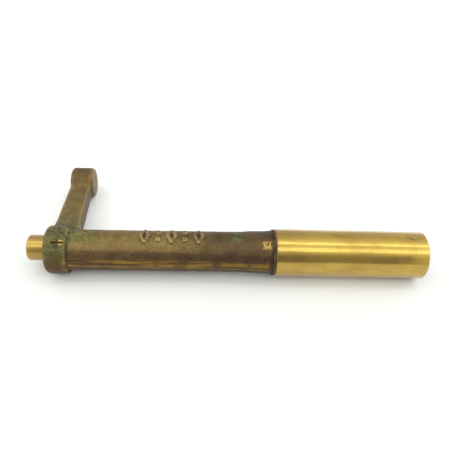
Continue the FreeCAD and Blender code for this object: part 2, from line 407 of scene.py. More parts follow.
def end_boss():
    """The solid round boss on the arm's end."""
    path = rounded_path([
        (BOSS_START_X, CORE_R, 0),
        (BOSS_START_X, BOSS_R - 0.05, 2.2),
        (BOSS_START_X + BOSS_WIDTH, BOSS_R - 0.05, 2.4),
        (BOSS_START_X + BOSS_WIDTH, CORE_R, 0),
    ])
    boss = lathe("end_boss", path)
    boss.data.transform(Matrix.Translation((0, ARM_LENGTH * MM, 0)))
    return boss


# Marks on the barrel
LOZENGES = 3
MARK_FIRST_X = 63.5
MARK_PITCH = 8.8
MARK_LENGTH = 7.0
MARK_HEIGHT = 13.4
MARK_STROKE = 1.8
MARK_RELIEF = 1.15
PIP_R = 1.75


def bent_prism(name, outline):
    """A raised shape on top of the barrel, its outline given as (x, distance round the barrel)."""
    rings = []
    for radius in (BARREL_R - 1.0, BARREL_R + MARK_RELIEF):
        ring = []
        for x, around in outline:
            angle = around / BARREL_R
            ring.append((x, radius * math.sin(angle), radius * math.cos(angle)))
        rings.append(ring)
    return leaned(loft(name, rings))


def stroke(x0, y0, x1, y1):
    """A straight stroke, split along its length so that it bends round the barrel."""
    run = Vector((x1 - x0, y1 - y0))
    across = Vector((-run.y, run.x)).normalized() * MARK_STROKE / 2
    parts = 6
    upper, lower = [], []
    for i in range(parts + 1):
        middle = Vector((x0, y0)) + run * i / parts
        upper.append(tuple(middle + across))
        lower.append(tuple(middle - across))
    return bent_prism("stroke", upper + list(reversed(lower)))


def pip(x, y):
    """A raised dot."""
    corners = 20
    outline = []
    for i in range(corners):
        angle = 2 * math.pi * i / corners
        outline.append((x + PIP_R * math.cos(angle), y + PIP_R * math.sin(angle)))
    return bent_prism("pip", outline)


def foundry_marks():
    """Hollow lozenges with a pair of pips between neighbours, in place of cast characters."""
    half_l = (MARK_LENGTH - MARK_STROKE) / 2
    half_h = (MARK_HEIGHT - MARK_STROKE) / 2
    marks = []
    for i in range(LOZENGES):
        x = MARK_FIRST_X + 2 * MARK_PITCH * i
        outline = [(x - half_l, 0), (x, half_h), (x + half_l, 0), (x, -half_h)]
        for (x0, y0), (x1, y1) in zip(outline, outline[1:] + outline[:1]):
            marks.append(stroke(x0, y0, x1, y1))
    for i in range(LOZENGES - 1):
        x = MARK_FIRST_X + MARK_PITCH * (2 * i + 1)
        marks += [pip(x, -MARK_HEIGHT / 4), pip(x, MARK_HEIGHT / 4)]
    return marks


# The cast skin's features: their size along the surface, and their height or depth
LUMP_SIZE, LUMP_HEIGHT = 14.0, 0.10
GRAIN_SIZE, GRAIN_HEIGHT = 1.7, 0.10
PIT_SIZE, PIT_DEPTH = 3.4, 0.30
PIT_THRESHOLD = 0.35


def roughen(mesh):
    """The points of a sand-cast skin: low lumps, a fine sandy grain and scattered pits."""
    points = coordinates(mesh)
    lumps = noise_field(points, LUMP_SIZE, 2)
    grain = noise_field(points, GRAIN_SIZE, 3, offset=7.0)
    pits = np.clip(noise_field(points, PIT_SIZE, 2, offset=21.0) - PIT_THRESHOLD, 0, 1)
    height = LUMP_HEIGHT * lumps + GRAIN_HEIGHT * grain - PIT_DEPTH * pits
    return points + normals(mesh) * (height * MM)[:, None]


def screw_direction():
    """The way out along the collar screw's axis, with the arm level."""
    return Vector((0, -math.cos(SCREW_ANGLE), math.sin(SCREW_ANGLE)))


def on_screw_axis(piece):
    """Moves a piece made on the X axis to the collar screw's axis, still with the arm level."""
    turn = Vector((1, 0, 0)).rotation_difference(screw_direction()).to_matrix().to_4x4()
    piece.data.transform(Matrix.Translation((SCREW_X * MM, 0, 0)) @ turn)
    return piece


def make_casting():
    """The casting: one skin over all its shapes, roughened, bored and laid down as it rests."""
    piece = join([collar_and_barrel(), flare(), arm_web(), end_boss()] + foundry_marks())
    remesh = piece.modifiers.new("skin", "REMESH")
    remesh.mode = "VOXEL"
    remesh.voxel_size = VOXEL * MM
    smooth = piece.modifiers.new("soften", "SMOOTH")
    smooth.factor = 0.5
    smooth.iterations = 5
    bake_modifiers(piece)
    mesh = piece.data
    points = roughen(mesh)
    points[:, 0] = np.clip(points[:, 0], CASTING_LOW[0] * MM, CASTING_HIGH[0] * MM)
    move_points(mesh, points)
    bore_r = SHANK_R + BORE_CLEARANCE
    bore = lathe("bore", [(-5, bore_r), (BARREL_END_X + 5, bore_r)], SMALL_SIDES)
    seat_r = SCREW_R + SEAT_CLEARANCE
    seat = on_screw_axis(lathe("seat", [(SHANK_R - 1, seat_r), (COLLAR_R + 3, seat_r)], SMALL_SIDES))
    cut(piece, [bore, seat])
    turned_about_x(piece, -REST_TILT)
    lowest = CASTING_LOW[2] * MM
    points = coordinates(piece.data)
    points[:, 2] = np.maximum(points[:, 2], lowest)
    points[:, 1] = np.clip(points[:, 1], CASTING_LOW[1] * MM, CASTING_HIGH[1] * MM)
    move_points(piece.data, points)
    shade(piece, 50)
    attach(piece, "lever")
    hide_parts("lever_casting")
    return piece


def store(mesh, name, values):
    """Keeps a value for each point, for a material to read."""
    layer = mesh.attributes.new(name, "FLOAT", "POINT")
    layer.data.foreach_set("value", np.asarray(values, dtype=np.float32))


def blurred(mesh, values, rounds):
    """Values eased towards their neighbours a number of times."""
    for _ in range(rounds):
        values = 0.5 * values + 0.5 * neighbour_mean(mesh, values)
    return values


PROUD_ROUNDS = 6
PROUD_HEIGHT = 0.22


def measure_proud_and_hollow(mesh):
    """Stores how far each point stands proud of its surroundings, from -1 in a hollow to 1 on an edge."""
    points = coordinates(mesh)
    smooth = points
    for _ in range(PROUD_ROUNDS):
        smooth = neighbour_mean(mesh, smooth)
    proud = ((points - smooth) * normals(mesh)).sum(axis=1) / (PROUD_HEIGHT * MM)
    store(mesh, "proud", np.clip(blurred(mesh, proud, 2), -1, 1))


def window(values, low, high, soft):
    """1 between low and high, falling smoothly to 0 over a soft margin outside."""
    outside = np.maximum(low - values, values - high) / soft
    share = np.clip(1 - outside, 0, 1)
    return share * share * (3 - 2 * share)


def mark_regions(mesh):
    """Stores how ground, worn and painted with a highlight, amber-banded, dark with painted shade and
    darker tone, green, scarred, grimy and dusty the skin is, from 0 to 1.

    Places are in millimetres, with the arm level. The angle round the barrel is in degrees: 0 in front, 90
    on top and 180 behind.
    """
    x, y, z = coordinates(mesh).T / MM
    cos_tilt, sin_tilt = math.cos(REST_TILT), math.sin(REST_TILT)
    y, z = y * cos_tilt - z * sin_tilt, y * sin_tilt + z * cos_tilt
    around = np.degrees(np.arctan2(z, -y))
    facing = normals(mesh)
    on_barrel = window(y, -40, 17, 2)
    on_collar = window(x, -5, 13.5, 1.5)
    far_half = window(x, 120, 150, 60)

    # The parting line, ground off in front and behind
    parting_line = window(around, -16, 9, 7) + window(np.abs(around), 172, 180, 7)
    store(mesh, "ground", parting_line * on_barrel * window(x, 12.5, 144, 2) * (1 - 0.35 * far_half))

    # The arm's upper right edge, worn and with a painted highlight along it, and an amber-brown band at the
    # foot of the boss beside it
    side = np.array([arm_right_side(value) for value in y])
    corner = np.hypot(x - side + 0.9, z - ARM_THICKNESS / 2 + 0.9)
    store(mesh, "worn_and_highlit_edge", window(corner, 0, 0.3, 0.9) * window(y, 20, ARM_LENGTH - BOSS_R, 3))
    beside_boss = window(y, ARM_LENGTH - 14, ARM_LENGTH - 4, 3) * window(x, 13.4, 15.2, 0.8)
    store(mesh, "amber_band", beside_boss * window(z, 4, 10, 3))

    # Darker places: the barrel's low front and underside, painted shade and dark reflection with some
    # tarnish; the arm's right side, painted shade; the barrel's far half, the collar and the boss, darker
    # in tone
    barrel = np.maximum(window(around, -90, 30, 16) * (0.75 + 0.25 * far_half), 0.85 * far_half)
    stem = 0.9 * window(facing[:, 0], 0.75, 1.1, 0.35) * window(y, 20, ARM_LENGTH - 7, 2)
    boss = 0.65 * window(y, ARM_LENGTH - 10, ARM_LENGTH + 15, 3) * window(x, -5, 13.5, 2)
    dark = np.maximum(barrel, 0.65 * on_collar) * on_barrel
    store(mesh, "dark", np.maximum(dark, np.maximum(stem, boss)))

    # The top of the collar and a little past it, and a small patch towards the grip
    over_collar = on_collar * window(around, 25, 150, 30)
    past_collar = window(x, 13.5, 22, 20) * window(around, 66, 140, 20)
    near_collar = np.maximum(over_collar, past_collar) * window(y, -40, 26, 22)
    top_patch = window(x, 121, 126, 4) * window(around, 72, 112, 16)
    store(mesh, "green", np.clip(near_collar + 0.6 * top_patch * on_barrel, 0, 1))

    # A filed patch by the grip
    store(mesh, "scar", window(x, 141.0, 146.0, 1.2) * window(around, 52, 69, 5))

    # Darker olive below the collar screw and round its head
    out = screw_direction()
    from_screw = np.hypot(x - SCREW_X, y * out.z - z * out.y)
    below = window(x, 7.8, 10.6, 1.8) * window(around, 2, 40, 8)
    store(mesh, "track", np.maximum(below, window(from_screw, 0, 4.8, 0.8) * on_barrel * (z > 0)))

    # The rim beside the grip, and all that faces up
    store(mesh, "grime", window(x, 146.2, 150, 1.0) * on_barrel)
    store(mesh, "dusty", np.clip(facing[:, 2], 0, 1))


casting = make_casting()
measure_proud_and_hollow(casting.data)
mark_regions(casting.data)


# ---------------------------------------------------------------- spindle, grip and screw

def make_spindle():
    """Turned bar with a square socket in its stub and a real thread under the castle nut."""
    thread_start = NUT_LOW[0] - (WASHER_HIGH[0] - WASHER_LOW[0])
    body = rounded_path([
        (SPINDLE_LOW[0], CORE_R, 0),
        (SPINDLE_LOW[0], STUB_R - STUB_CHAMFER, 0.25),
        (SPINDLE_LOW[0] + STUB_CHAMFER, STUB_R, 0.4),
        (0, STUB_R, 0),
        (0, SHANK_R, 0),
        (BARREL_END_X - SHANK_RECESS, SHANK_R, 0),
        (BARREL_END_X - SHANK_RECESS, JOURNAL_R, 0),
        (thread_start, JOURNAL_R, 0),
        (thread_start, THREAD_R - THREAD_DEPTH, 0),
    ])
    steps_per_turn = 6
    end_x = SPINDLE_HIGH[0]
    rings = [[(x, radius)] * SMALL_SIDES for x, radius in body]
    for x in np.arange(thread_start + THREAD_RUNOUT, end_x, THREAD_PITCH / steps_per_turn):
        end_fade = min(1.0, (end_x - x) / THREAD_DEPTH)
        ring = []
        for i in range(SMALL_SIDES):
            phase = (x / THREAD_PITCH - i / SMALL_SIDES) % 1.0
            ridge = 1 - abs(2 * phase - 1)
            height = THREAD_DEPTH * min(ridge * THREAD_FLANK, 1.0) * end_fade
            ring.append((x, (THREAD_R - THREAD_DEPTH) + height))
        rings.append(ring)
    rings.append([(end_x, THREAD_TIP_R)] * SMALL_SIDES)
    spindle = outward(turned("drive_spindle_turned", rings))
    half = SOCKET_SIZE / 2
    socket = loft("socket", [
        socket_ring(half + 1.2, SPINDLE_LOW[0] - 1.0),
        socket_ring(half, SPINDLE_LOW[0] + 0.6),
        socket_ring(half, SPINDLE_LOW[0] + SOCKET_DEPTH),
    ])
    cut(spindle, [socket])
    turned_about_x(spindle, -REST_TILT)
    shade(spindle, 30)
    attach(spindle, "lever")
    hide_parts("drive_spindle")
    return spindle


def socket_ring(half, x):
    """One ring of the square socket, half as wide as given, at a distance x along the spindle."""
    ring = rounded_section(-half, half, 2 * half, SOCKET_ROUND, 0)
    return [(x, a, b) for a, _, b in ring]


def make_grip():
    """The turned sleeve, with small broken edges outside and a broken edge to its bore at the open end."""
    low, high = GRIP_LOW[0], GRIP_HIGH[0]
    path = rounded_path([
        (low, GRIP_FACE_R, 0),
        (low, GRIP_R - GRIP_INNER_CHAMFER, 0.3),
        (low + GRIP_INNER_CHAMFER, GRIP_R, 0.5),
        (low + GRIP_RING_INSET, GRIP_R, 0),
        (high - GRIP_RING_INSET, GRIP_R, 0),
        (high - GRIP_OUTER_CHAMFER, GRIP_R, 0.5),
        (high, GRIP_R - GRIP_OUTER_CHAMFER, 0.3),
        (high, GRIP_BORE_R + GRIP_BORE_CHAMFER, 0.2),
        (high - GRIP_BORE_CHAMFER, GRIP_BORE_R, 0.3),
        (low, GRIP_BORE_R, 0),
    ])
    piece = outward(lathe("grip_sleeve_turned", path, SLEEVE_SIDES, loop=True))
    shade(piece, 35)
    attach(piece, "grip")
    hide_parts("grip_sleeve")
    return piece


def screw_slot(bottom):
    """The cutter for the screw's slot, which runs along the barrel."""
    across = Vector((0, math.sin(SCREW_ANGLE), math.cos(SCREW_ANGLE))) * SLOT_WIDTH / 2
    low, high = screw_direction() * bottom, screw_direction() * (COLLAR_R + 3)
    rings = []
    for x in (SCREW_X - 2 * SCREW_R, SCREW_X + 2 * SCREW_R):
        ring = (low - across, low + across, high + across, high - across)
        rings.append([(x, corner.y, corner.z) for corner in ring])
    return loft("slot", rings)


def make_screw():
    """The slotted locking screw: a slightly domed head over a dog point."""
    screw = outward(on_screw_axis(lathe("collar_screw_slotted", rounded_path([
        (SHANK_R - DOG_REACH, SCREW_CORE_R, 0),
        (SHANK_R - DOG_REACH, DOG_R, 0.4),
        (SHANK_R + DOG_SHOULDER, DOG_R, 0),
        (SHANK_R + DOG_SHOULDER, SCREW_R, 0.4),
        (SCREW_HEAD - SCREW_DOME, SCREW_R, 0.4),
        (SCREW_HEAD, SCREW_CORE_R, 0),
    ]), SMALL_SIDES)))
    cut(screw, [screw_slot(SCREW_HEAD - SLOT_DEPTH)])
    turned_about_x(screw, -REST_TILT)
    shade(screw, 35)
    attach(screw, "lever")
    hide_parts("collar_screw")
    return screw


spindle = make_spindle()
grip = make_grip()
screw = make_screw()


# ---------------------------------------------------------------- materials

class Nodes:
    """A node tree, with short calls for the nodes used here."""

    def __init__(self, tree):
        self.tree = tree

    def node(self, kind, settings=None, **inputs):
        """A new node with its settings, and a value or a link for each input named."""
        made = self.tree.nodes.new(kind)
        for key, value in (settings or {}).items():
            setattr(made, key, value)
        for key, value in inputs.items():
            self.feed(made.inputs[key.replace("_", " ")], value)
        return made

    def feed(self, socket, value):
        """Gives an input a link or a fixed value."""
        if isinstance(value, bpy.types.NodeSocket):
            self.tree.links.new(value, socket)
        else:
            socket.default_value = value

    def calc(self, operation, a, b=0.0):
        made = self.node("ShaderNodeMath", {"operation": operation})
        for socket, value in zip(made.inputs, (a, b)):
            self.feed(socket, value)
        return made.outputs["Value"]

    def fit(self, value, low, high, to_low=0.0, to_high=1.0):
        """Runs smoothly from to_low, where the value is low, to to_high, where it is high."""
        made = self.node("ShaderNodeMapRange", {"interpolation_type": "SMOOTHSTEP"}, Value=value)
        for key, number in (("From Min", low), ("From Max", high), ("To Min", to_low), ("To Max", to_high)):
            made.inputs[key].default_value = number
        return made.outputs["Result"]

    def mix(self, share, a, b):
        """Colour a where the share is 0 and colour b where it is 1."""
        made = self.node("ShaderNodeMix", {"data_type": "RGBA"})
        self.feed(made.inputs["Factor"], share)
        self.feed(made.inputs[6], a)
        self.feed(made.inputs[7], b)
        return made.outputs[2]


class Graph(Nodes):
    """A material's node tree, with one shader and textures placed by the object's own coordinates."""

    def __init__(self, name):
        self.material = bpy.data.materials.new(name)
        self.material.use_nodes = True
        super().__init__(self.material.node_tree)
        self.tree.nodes.clear()
        output = self.node("ShaderNodeOutputMaterial")
        self.shader = self.node("ShaderNodeBsdfPrincipled")
        self.tree.links.new(self.shader.outputs["BSDF"], output.inputs["Surface"])
        self.place = self.node("ShaderNodeTexCoord").outputs["Object"]

    def attribute(self, name):
        """A value stored for each point of the mesh."""
        return self.node("ShaderNodeAttribute", {"attribute_name": name}).outputs["Fac"]

    def stretched(self, x, y, z):
        """The object's coordinates, scaled by axis, for a texture that runs along one of them."""
        made = self.node("ShaderNodeMapping", Vector=self.place)
        made.inputs["Scale"].default_value = (x, y, z)
        return made.outputs["Vector"]

    def noise(self, scale, detail=4.0, roughness=0.55, vector=None):
        made = self.node("ShaderNodeTexNoise", Scale=scale, Detail=detail, Roughness=roughness)
        self.tree.links.new(vector or self.place, made.inputs["Vector"])
        return made.outputs["Fac"]

    def axis(self, name):
        return self.node("ShaderNodeSeparateXYZ", Vector=self.place).outputs[name]

    def measure(self, operation, vector):
        """The DISTANCE of each place to a point, or its DOT_PRODUCT with a direction."""
        made = self.node("ShaderNodeVectorMath", {"operation": operation})
        self.feed(made.inputs[0], self.place)
        made.inputs[1].default_value = vector
        return made.outputs["Value"]

    def bump(self, height, strength, distance_mm, under=None):
        made = self.node("ShaderNodeBump", Height=height, Strength=strength, Distance=distance_mm * MM)
        if under is not None:
            self.tree.links.new(under, made.inputs["Normal"])
        return made.outputs["Normal"]

    def finish(self, color, metallic, roughness, normal=None):
        """Feeds the shader and gives the finished material."""
        self.feed(self.shader.inputs["Base Color"], color)
        self.feed(self.shader.inputs["Metallic"], metallic)
        self.feed(self.shader.inputs["Roughness"], roughness)
        if normal is not None:
            self.tree.links.new(normal, self.shader.inputs["Normal"])
        return self.material


def rgb(red, green, blue):
    return (red, green, blue, 1.0)


# Colours of the casting
BROWN = rgb(0.150, 0.092, 0.033)
TAN = rgb(0.215, 0.143, 0.048)
RED_BROWN = rgb(0.17, 0.095, 0.045)
OLIVE_BROWN = rgb(0.145, 0.130, 0.045)
BRIGHT_SAND = rgb(0.41, 0.28, 0.085)
DARK_SAND = rgb(0.060, 0.034, 0.020)
DUST = rgb(0.195, 0.155, 0.058)
# For hollows: dirt, and painted shade that outlines the marks
HOLLOW_DIRT_AND_SHADE = rgb(0.050, 0.032, 0.018)
# Dark tarnish, also used as painted shade and dark reflection on the barrel's low front and underside and
# on the arm's right side
TARNISH_AND_PAINTED_SHADE = rgb(0.060, 0.034, 0.023)
WORN_BRONZE = rgb(0.44, 0.31, 0.115)
# An amber-brown band on the arm's side beside the boss
AMBER_BROWN = rgb(0.19, 0.105, 0.022)
FILED_DARK = rgb(0.085, 0.046, 0.028)
FILED_BRIGHT = rgb(0.31, 0.190, 0.028)
SCAR_BRONZE = rgb(0.50, 0.33, 0.085)
OLIVE_GREEN = rgb(0.120, 0.145, 0.020)
DEEP_GREEN = rgb(0.072, 0.112, 0.028)
SOOT = rgb(0.045, 0.036, 0.018)
GREEN_FLAKE = rgb(0.200, 0.255, 0.120)
# A darker olive below the collar screw and round its head
OLIVE_BY_SCREW = rgb(0.105, 0.078, 0.018)
GRIME = rgb(0.050, 0.030, 0.017)


def cast_bronze():
    """Sand-cast bronze: brown skin with bright grains, a ground parting line, verdigris and dust, with
    painted shade in hollows and low places and a painted highlight along the arm's edge.
    """
    g = Graph("cast_bronze")
    blotch = g.noise(85.0, 5.0, 0.6)
    sand = g.noise(1050.0, 3.0, 0.6)
    fine = g.noise(2300.0, 2.0, 0.6)
    patches = g.noise(48.0, 3.0, 0.5)
    color = g.mix(g.fit(blotch, 0.36, 0.64), BROWN, TAN)
    color = g.mix(g.fit(patches, 0.56, 0.70, 0.0, 0.30), color, RED_BROWN)
    color = g.mix(g.fit(patches, 0.44, 0.30, 0.0, 0.35), color, OLIVE_BROWN)
    color = g.mix(g.fit(sand, 0.52, 0.70, 0.0, 0.55), color, BRIGHT_SAND)
    color = g.mix(g.fit(sand, 0.48, 0.30, 0.0, 0.60), color, DARK_SAND)

    # Dust on top, dirt and painted shade in the hollows, dark tarnish and painted shade, and wear on
    # whatever stands proud, with a painted highlight along the arm's upper right edge
    dust = g.calc("MULTIPLY", g.attribute("dusty"), g.fit(g.noise(140.0, 4.0, 0.6), 0.30, 0.65, 0.05, 0.32))
    color = g.mix(dust, color, DUST)
    proud = g.attribute("proud")
    # Hollows darkened as dirt and as painted shade, which outlines the marks
    color = g.mix(g.fit(proud, -0.08, -0.65, 0.0, 0.85), color, HOLLOW_DIRT_AND_SHADE)
    # Painted shade and dark reflection on the barrel's low front and underside and on the arm's right side,
    # tarnish elsewhere
    dark = g.calc("MULTIPLY", g.attribute("dark"), g.fit(blotch, 0.30, 0.60, 0.95, 0.80))
    color = g.mix(dark, color, TARNISH_AND_PAINTED_SHADE)
    uneven = g.calc("MULTIPLY", g.calc("SUBTRACT", sand, 0.5), 0.8)
    worn = g.fit(g.calc("ADD", proud, uneven), 0.30, 0.95, 0.0, 0.55)
    # A painted highlight along the arm's upper right edge, partly wear
    worn_and_highlit_edge = g.calc("MULTIPLY", g.attribute("worn_and_highlit_edge"), g.fit(blotch, 0.30, 0.50, 0.10, 0.36))
    worn = g.calc("MAXIMUM", worn, worn_and_highlit_edge)
    color = g.mix(worn, color, WORN_BRONZE)
    # An amber-brown band beside the boss
    color = g.mix(g.calc("MULTIPLY", g.attribute("amber_band"), 0.5), color, AMBER_BROWN)

    # The ground parting line, and the filed patch by the grip
    streaks = g.noise(1.0, 4.0, 0.65, g.stretched(16.0, 380.0, 380.0))
    filed = g.mix(g.fit(streaks, 0.42, 0.58), FILED_DARK, FILED_BRIGHT)
    ground = g.calc("MULTIPLY", g.attribute("ground"), g.fit(blotch, 0.34, 0.52, 0.35, 0.95))
    color = g.mix(ground, color, filed)
    hatch = g.fit(g.noise(1.0, 2.0, 0.5, g.stretched(900.0, 500.0, 500.0)), 0.38, 0.56)
    scar = g.calc("MULTIPLY", g.attribute("scar"), hatch)
    color = g.mix(g.calc("MULTIPLY", scar, 0.75), color, SCAR_BRONZE)

    # Verdigris in two greens, with soot and pale flakes in it
    verdigris = g.attribute("green")
    crust = g.fit(g.noise(210.0, 5.0, 0.7), 0.40, 0.66)
    green = g.calc("MULTIPLY", verdigris, g.calc("MAXIMUM", crust, 0.28))
    tint = g.mix(g.fit(g.noise(120.0, 3.0, 0.5), 0.40, 0.60), OLIVE_GREEN, DEEP_GREEN)
    color = g.mix(g.calc("MULTIPLY", green, 0.85), color, tint)
    soot = g.calc("MULTIPLY", verdigris, g.fit(g.noise(320.0, 4.0, 0.65), 0.50, 0.38, 0.0, 0.75))
    color = g.mix(soot, color, SOOT)
    flakes = g.calc("MULTIPLY", verdigris, g.fit(g.noise(620.0, 3.0, 0.6), 0.60, 0.70, 0.0, 0.55))
    color = g.mix(flakes, color, GREEN_FLAKE)

    # Darker olive by the screw, and dirt beside the grip
    track = g.calc("MULTIPLY", g.attribute("track"), g.fit(sand, 0.35, 0.55, 0.3, 0.8))
    color = g.mix(track, color, OLIVE_BY_SCREW)
    grime = g.calc("MULTIPLY", g.attribute("grime"), g.fit(sand, 0.35, 0.60, 0.90, 0.50))
    color = g.mix(grime, color, GRIME)

    matte = g.calc("MAXIMUM", green, dust)
    metallic = g.fit(matte, 0.0, 1.0, 0.95, 0.10)
    shiny = g.fit(g.calc("MAXIMUM", worn, ground), 0.0, 1.0, 0.40, 0.30)
    rough = g.calc("ADD", shiny, g.calc("MULTIPLY", matte, 0.22))
    normal = g.bump(sand, 0.85, 0.45)
    normal = g.bump(fine, 0.40, 0.12, normal)
    normal = g.bump(streaks, 0.20, 0.20, normal)
    return g.finish(color, metallic, rough, normal)


# Colours of turned brass, and the place of the sleeve's scratch
CLEAN_BRASS = rgb(0.53, 0.350, 0.062)
STAINED_BRASS = rgb(0.45, 0.285, 0.048)
SMEARED_BRASS = rgb(0.28, 0.175, 0.042)
TOOL_MARK_BRASS = rgb(0.36, 0.23, 0.055)
SCRATCH_BROWN = rgb(0.14, 0.085, 0.030)
EDGE_DIRT = rgb(0.085, 0.050, 0.022)
SCRATCH_X = 237.8
SCRATCH_AROUND = math.radians(90.0)
SCRATCH_SLANT = math.radians(33.0)


def sleeve_scratch(g):
    """Where a short slanting scratch lies on top of the sleeve, near its outer end."""
    angle = g.calc("ARCTAN2", g.axis("Y"), g.axis("Z"))
    across = g.calc("MULTIPLY", g.calc("ADD", angle, math.pi / 2 - SCRATCH_AROUND), -GRIP_R * MM)
    along = g.calc("SUBTRACT", g.axis("X"), SCRATCH_X * MM)
    slant_cos, slant_sin = math.cos(SCRATCH_SLANT), math.sin(SCRATCH_SLANT)
    run = g.calc("ADD", g.calc("MULTIPLY", along, slant_cos), g.calc("MULTIPLY", across, slant_sin))
    off = g.calc("SUBTRACT", g.calc("MULTIPLY", across, slant_cos), g.calc("MULTIPLY", along, slant_sin))
    wobble = g.calc("MULTIPLY", g.calc("SUBTRACT", g.noise(400.0), 0.5), 0.0012)
    off = g.calc("ABSOLUTE", g.calc("ADD", off, wobble))
    return g.calc("MULTIPLY", g.fit(g.calc("ABSOLUTE", run), 0.0034, 0.0020), g.fit(off, 0.00060, 0.00020))


def turned_brass(name, roughness, clean=CLEAN_BRASS, stained=STAINED_BRASS, sleeve=False):
    """Brass turned in a lathe: fine grooves round the axis draw its reflections out along it.

    The sleeve's brass also has the scratch, and dirt on the edge beside the casting.
    """
    g = Graph(name)
    grooves = g.noise(1.0, 3.0, 0.6, g.stretched(2400.0, 9.0, 9.0))
    passes = g.noise(1.0, 2.0, 0.5, g.stretched(240.0, 5.0, 5.0))
    stain = g.noise(42.0, 5.0, 0.65)
    smear = g.noise(1.0, 4.0, 0.6, g.stretched(30.0, 130.0, 130.0))
    color = g.mix(g.fit(stain, 0.40, 0.70), clean, stained)
    color = g.mix(g.fit(smear, 0.44, 0.68, 0.0, 0.55), color, SMEARED_BRASS)
    color = g.mix(g.fit(passes, 0.52, 0.75, 0.0, 0.28), color, TOOL_MARK_BRASS)
    rough = g.calc("ADD", roughness - 0.07, g.calc("MULTIPLY", passes, 0.14))
    rough = g.calc("ADD", rough, g.fit(stain, 0.45, 0.75, 0.0, 0.06))
    if sleeve:
        color = g.mix(sleeve_scratch(g), color, SCRATCH_BROWN)
        inner_edge = g.fit(g.axis("X"), (GRIP_LOW[0] + 1.3) * MM, (GRIP_LOW[0] + 0.5) * MM, 0.0, 0.85)
        color = g.mix(inner_edge, color, EDGE_DIRT)
    normal = g.bump(grooves, 0.14, 0.02)
    g.shader.inputs["Anisotropic"].default_value = 0.5
    g.shader.inputs["Anisotropic Rotation"].default_value = 0.25
    g.shader.inputs["Coat Weight"].default_value = 0.6
    g.shader.inputs["Coat Roughness"].default_value = 0.07
    tangent = g.node("ShaderNodeTangent", {"direction_type": "RADIAL", "axis": "X"})
    g.tree.links.new(tangent.outputs["Tangent"], g.shader.inputs["Tangent"])
    return g.finish(color, 1.0, rough, normal)


def dull_metal(name, dark, light, metallic, roughness):
    """Metal with no polish, blotched between a dark and a light colour."""
    g = Graph(name)
    blotch = g.noise(160.0, 5.0, 0.6)
    grain = g.noise(1800.0, 3.0, 0.6)
    color = g.mix(g.fit(blotch, 0.35, 0.68), dark, light)
    rough = g.fit(blotch, 0.3, 0.7, roughness, roughness + 0.15)
    return g.finish(color, metallic, rough, g.bump(grain, 0.25, 0.05))


BRIGHT_SPOT_ASIDE = 2.3
DARK_CRUMBS = rgb(0.048, 0.040, 0.019)
GREEN_CRUMBS = rgb(0.125, 0.120, 0.045)
RUBBED_SCREW = rgb(0.34, 0.215, 0.055)
SLOT_RUST = rgb(0.120, 0.045, 0.018)


def screw_brass():
    """A dirty screw, worn bright on the side of the slot nearer the grip and rusty in the slot."""
    g = Graph("screw_brass")
    blotch = g.noise(520.0, 4.0, 0.6)
    grain = g.noise(1500.0, 3.0, 0.6)
    out = Matrix.Rotation(-REST_TILT, 3, "X") @ screw_direction()
    spot = Vector((SCREW_X + BRIGHT_SPOT_ASIDE, 0, 0)) + out * SCREW_HEAD
    near = g.fit(g.measure("DISTANCE", spot * MM), 0.0034, 0.0008, -0.25, 0.30)
    bright = g.fit(g.calc("ADD", blotch, near), 0.42, 0.82)
    crumbs = g.fit(g.noise(700.0, 3.0, 0.6), 0.38, 0.60)
    color = g.mix(bright, g.mix(crumbs, DARK_CRUMBS, GREEN_CRUMBS), RUBBED_SCREW)
    in_slot = g.fit(g.measure("DOT_PRODUCT", out), (SCREW_HEAD - 0.9) * MM, (SCREW_HEAD - 1.3) * MM)
    color = g.mix(in_slot, color, SLOT_RUST)
    rough = g.fit(bright, 0.0, 1.0, 0.55, 0.32)
    return g.finish(color, g.fit(in_slot, 0.0, 1.0, 0.9, 0.2), rough, g.bump(grain, 0.4, 0.15))


def dress(node_or_piece, material):
    """Gives a material to a piece, or to a CAD node by name."""
    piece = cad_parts[node_or_piece] if isinstance(node_or_piece, str) else node_or_piece
    piece.data.materials.clear()
    piece.data.materials.append(material)


BRONZE = cast_bronze()
GRIP_BRASS = turned_brass("turned_brass", 0.20, sleeve=True)
SPINDLE_BRASS = turned_brass("spindle_brass", 0.30, rgb(0.43, 0.27, 0.058), rgb(0.30, 0.18, 0.038))
BEARING = turned_brass("bearing_bronze", 0.38, rgb(0.42, 0.25, 0.10), rgb(0.33, 0.19, 0.08))
THRUST_BRONZE = dull_metal("thrust_bronze", rgb(0.035, 0.022, 0.012), rgb(0.13, 0.082, 0.030), 0.6, 0.55)
STEEL = dull_metal("steel", rgb(0.22, 0.21, 0.20), rgb(0.42, 0.41, 0.39), 1.0, 0.34)
SCREW = screw_brass()

dress(casting, BRONZE)
dress(spindle, SPINDLE_BRASS)
dress(grip, GRIP_BRASS)
dress("inner_bush", BEARING)
dress("outer_bush", BEARING)
dress("thrust_washer", THRUST_BRONZE)
dress("keeper_washer", STEEL)
dress("castle_nut", STEEL)
dress("split_pin", STEEL)
dress(screw, SCREW)


# ---------------------------------------------------------------- stage, lights and camera

# Lengths named from here on are in metres.
FLOOR_SIZE = 3.0
# The floor's front is painted darker than its back, as painted shade
FLOOR_FRONT_SHADED = rgb(0.66, 0.655, 0.66)
FLOOR_BACK = rgb(0.82, 0.82, 0.82)
WRENCH_MIDDLE_X = 0.12

# Brightness of the room by angle over the wrench, in degrees: 0 is level in front, 90 overhead and
# 180 level behind.
ROOM = [
    (0, 0.38), (24, 0.38), (36, 0.52), (46, 0.85), (54, 1.50), (60, 1.75), (68, 1.60), (78, 1.15),
    (86, 1.55), (92, 2.00), (99, 1.65), (112, 1.10), (135, 0.76), (180, 0.85),
]
ROOM_BRIGHTEST = 2.0
# The tint of the two bright bands overhead, and the angles between which it holds
ROOM_TINT = (0.955, 1.02, 0.93)
TINT_START, TINT_END = 50, 124
